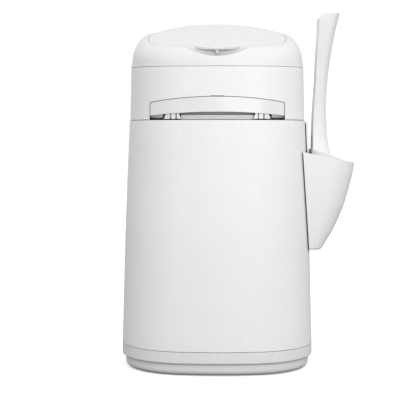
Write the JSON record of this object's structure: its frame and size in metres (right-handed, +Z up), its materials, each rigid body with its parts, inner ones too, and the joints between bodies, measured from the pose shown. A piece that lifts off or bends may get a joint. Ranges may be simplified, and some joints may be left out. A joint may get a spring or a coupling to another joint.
{
  "type": "litter disposal pail",
  "caption": "Tall tapered pail for used cat litter with a flip lid, a pull handle that opens a spring jaw, a tilting bag unit and a scoop in a side holder.",
  "frame": {"origin": "on the floor, under the middle of the pail", "axes": "+Z up, -Y towards the front where the pull handle is, +X towards the scoop holder"},
  "size_m": [0.2884, 0.2181, 0.4378],
  "materials": {
    "white_shell": "moulded white plastic, fine satin grain",
    "white_gloss": "smooth moulded white plastic",
    "grey_plastic": "moulded grey plastic",
    "dark_plastic": "moulded dark grey plastic",
    "film": "thin pale film",
    "foot_rubber": "grey rubber",
    "seal_rubber": "soft grey sealing rubber",
    "steel": "zinc plated steel"
  },
  "bodies": {
    "pail": {"bucket": "white_shell", "base_tray": "white_shell", "base_feet": "foot_rubber", "base_screws": "steel", "rear_hinge_pin": "steel", "scoop_holder": "white_shell"},
    "upper_unit": {"upper_body": "white_shell", "chassis": "grey_plastic", "chassis_screws": "steel", "guide_rods": "steel", "return_springs": "steel", "guide_rail_left": "grey_plastic", "guide_rail_right": "grey_plastic", "rail_screws": "steel", "fixed_jaw": "grey_plastic", "fixed_jaw_screws": "steel", "fixed_jaw_lip": "seal_rubber", "snap_clips": "grey_plastic", "cutter_housing": "grey_plastic", "cutter_blade": "steel", "hopper": "grey_plastic", "hopper_screws": "steel", "cassette_body": "dark_plastic", "film_pack": "film", "cassette_cap": "dark_plastic", "bag_film": "film", "cover_hinge_pin": "steel"},
    "slider": {"handle": "white_gloss", "handle_screws": "steel", "slide_jaw": "grey_plastic", "slide_jaw_lip": "seal_rubber"},
    "cover": {"top_cover": "white_shell", "lid_hinge_pin": "steel"},
    "lid": {"lid": "white_shell", "lid_seal": "seal_rubber"},
    "scoop": {"scoop": "white_gloss"}
  },
  "joints": [
    {"name": "upper_tilt", "type": "hinge", "parent": "pail", "child": "upper_unit", "pos_m": [0, 0.1046, 0.3046], "axis": [-1, 0, 0], "range_deg": [0, 80]},
    {"name": "handle_pull", "type": "slide", "parent": "upper_unit", "child": "slider", "axis": [0, -1, 0], "range_m": [0, 0.05], "stiffness_N_per_m": 120, "springref_m": -0.02, "deforming": ["return_springs"]},
    {"name": "cover_open", "type": "hinge", "parent": "upper_unit", "child": "cover", "pos_m": [0, 0.1026, 0.3712], "axis": [-1, 0, 0], "range_deg": [0, 100]},
    {"name": "lid_open", "type": "hinge", "parent": "cover", "child": "lid", "pos_m": [0, 0.0695, 0.4275], "axis": [-1, 0, 0], "range_deg": [0, 112]},
    {"name": "scoop_lift", "type": "slide", "parent": "pail", "child": "scoop", "axis": [0, 0, 1], "range_m": [0, 0.125]}
  ]
}
